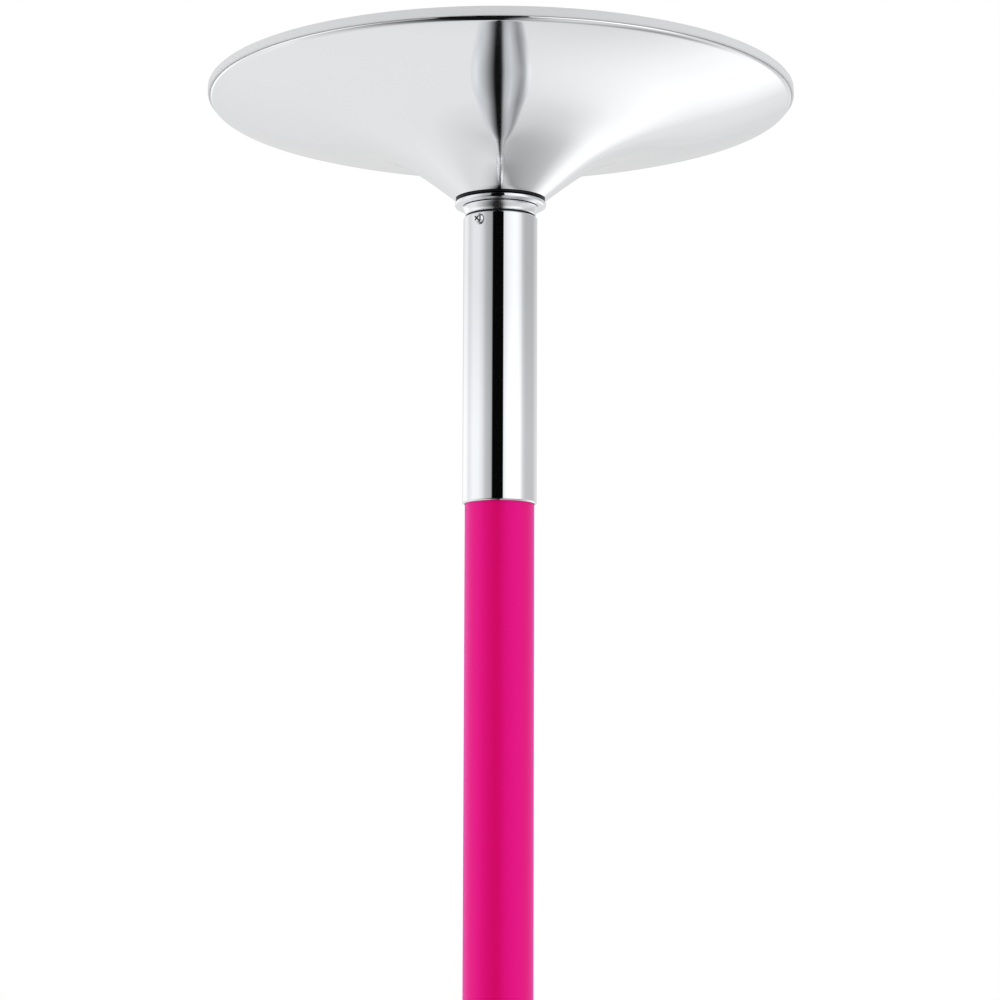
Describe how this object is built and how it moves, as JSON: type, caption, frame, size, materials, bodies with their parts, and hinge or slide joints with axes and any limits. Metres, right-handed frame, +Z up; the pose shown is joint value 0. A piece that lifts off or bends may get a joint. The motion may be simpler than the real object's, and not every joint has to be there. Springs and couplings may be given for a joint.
{
  "type": "dance pole",
  "caption": "Floor-to-ceiling dance pole: chrome ceiling dome on a bearing, chrome end tubes, pink silicone grip and a screw-jack foot.",
  "frame": {"origin": "middle of the foot's underside, on the floor", "axes": "+Z up along the pole's axis; the picture's camera stands towards -Y and +X is to its right"},
  "size_m": [0.3706, 0.3706, 2.2276],
  "materials": {
    "chrome": "mirror polished chrome plate",
    "spun_chrome": "spun steel, chrome plated",
    "grey_rubber": "matte",
    "black_rubber": "matte",
    "pink_silicone": "satin, tacky",
    "zinc_steel": "zinc plated, dull",
    "bearing_steel": "ground",
    "black_steel": "black oxide",
    "cast_aluminium": "as cast",
    "nylon": "natural nylon"
  },
  "bodies": {
    "base": {"floor_pad": "black_rubber", "base_plate": "zinc_steel", "bearing_housing": "cast_aluminium", "housing_screw_1": "black_steel", "housing_screw_2": "black_steel", "housing_screw_3": "black_steel", "housing_screw_4": "black_steel", "thrust_race_lower": "bearing_steel", "lower_bearing_outer_ring": "bearing_steel", "housing_circlip": "black_steel"},
    "base_cover": {"base_cover": "chrome"},
    "spin_lock_1": {"spin_lock_screw_1": "black_steel"},
    "spin_lock_2": {"spin_lock_screw_2": "black_steel"},
    "spindle": {"spindle": "zinc_steel", "thrust_race_upper": "bearing_steel", "lower_bearing_inner_ring": "bearing_steel", "spindle_circlip": "black_steel", "spindle_guide": "nylon", "guide_bolt": "zinc_steel"},
    "pole": {"foot_plug": "bearing_steel", "lower_tube": "chrome", "lower_core_bush": "nylon", "core_lower": "zinc_steel", "core_upper": "zinc_steel", "joint_shell_front": "cast_aluminium", "joint_shell_rear": "cast_aluminium", "joint_screw_lower": "black_steel", "joint_screw_upper": "black_steel", "grip_sleeve_lower": "pink_silicone", "grip_sleeve_upper": "pink_silicone", "upper_core_bush": "nylon", "top_tube": "chrome", "top_hub": "chrome", "flange_ring": "chrome", "hub_screw_front": "chrome", "hub_screw_rear": "chrome", "foot_plug_screw_front": "chrome", "foot_plug_screw_rear": "chrome", "upper_bearing_inner_ring": "bearing_steel", "hub_circlip": "black_steel"},
    "adjuster_nut": {"adjuster_nut": "chrome"},
    "lock_washer": {"lock_washer": "zinc_steel"},
    "lock_ring": {"lock_ring": "chrome"},
    "dome": {"dome_shell": "spun_chrome", "ceiling_pad": "grey_rubber", "bearing_cup": "black_steel", "cup_nut": "zinc_steel", "upper_bearing_outer_ring": "bearing_steel", "cup_circlip": "black_steel"},
    "lower_ball_cage": {"lower_ball_cage": "bearing_steel"},
    "thrust_ball_cage": {"thrust_ball_cage": "bearing_steel"},
    "upper_ball_cage": {"upper_ball_cage": "bearing_steel"}
  },
  "joints": [
    {"name": "pole_spin", "type": "hinge", "parent": "base", "child": "spindle", "pos_m": [0, 0, 0.04], "axis": [0, 0, 1], "continuous": true},
    {"name": "nut_turn", "type": "hinge", "parent": "pole", "child": "adjuster_nut", "pos_m": [0, 0, 0.0926], "axis": [0, 0, 1], "range_deg": [0, 7920]},
    {"name": "pole_rise", "type": "slide", "parent": "spindle", "child": "pole", "axis": [0, 0, 1], "range_m": [0, 0.11]},
    {"name": "lock_turn", "type": "hinge", "parent": "lock_washer", "child": "lock_ring", "pos_m": [0, 0, 0.069], "axis": [0, 0, 1], "range_deg": [0, 180]},
    {"name": "lock_drop", "type": "slide", "parent": "pole", "child": "lock_washer", "axis": [0, 0, -1], "range_m": [0, 0.0025]},
    {"name": "cover_lift", "type": "slide", "parent": "base", "child": "base_cover", "axis": [0, 0, 1], "range_m": [0, 0.12]},
    {"name": "spin_lock_1_in", "type": "slide", "parent": "base", "child": "spin_lock_1", "axis": [-1, 0, 0], "range_m": [0, 0.0032]},
    {"name": "spin_lock_2_in", "type": "slide", "parent": "base", "child": "spin_lock_2", "axis": [1, 0, 0], "range_m": [0, 0.0032]},
    {"name": "dome_spin", "type": "hinge", "parent": "pole", "child": "dome", "pos_m": [0, 0, 2.1672], "axis": [0, 0, 1], "continuous": true},
    {"name": "lower_balls_spin", "type": "hinge", "parent": "base", "child": "lower_ball_cage", "pos_m": [0, 0, 0.04684], "axis": [0, 0, 1], "continuous": true},
    {"name": "thrust_balls_spin", "type": "hinge", "parent": "base", "child": "thrust_ball_cage", "pos_m": [0, 0, 0.02382], "axis": [0, 0, 1], "continuous": true},
    {"name": "upper_balls_spin", "type": "hinge", "parent": "pole", "child": "upper_ball_cage", "pos_m": [0, 0, 2.16724], "axis": [0, 0, 1], "continuous": true}
  ],
  "couplings": [
    {"joint": "nut_turn", "follows": "pole_rise", "rad_per_m": 1256.6},
    {"joint": "lock_turn", "follows": "lock_drop", "rad_per_m": 1256.6},
    {"joint": "dome_spin", "follows": "pole_spin", "ratio": -1},
    {"joint": "lower_balls_spin", "follows": "pole_spin", "ratio": 0.4043},
    {"joint": "thrust_balls_spin", "follows": "pole_spin", "ratio": 0.5},
    {"joint": "upper_balls_spin", "follows": "pole_spin", "ratio": -0.5791}
  ]
}
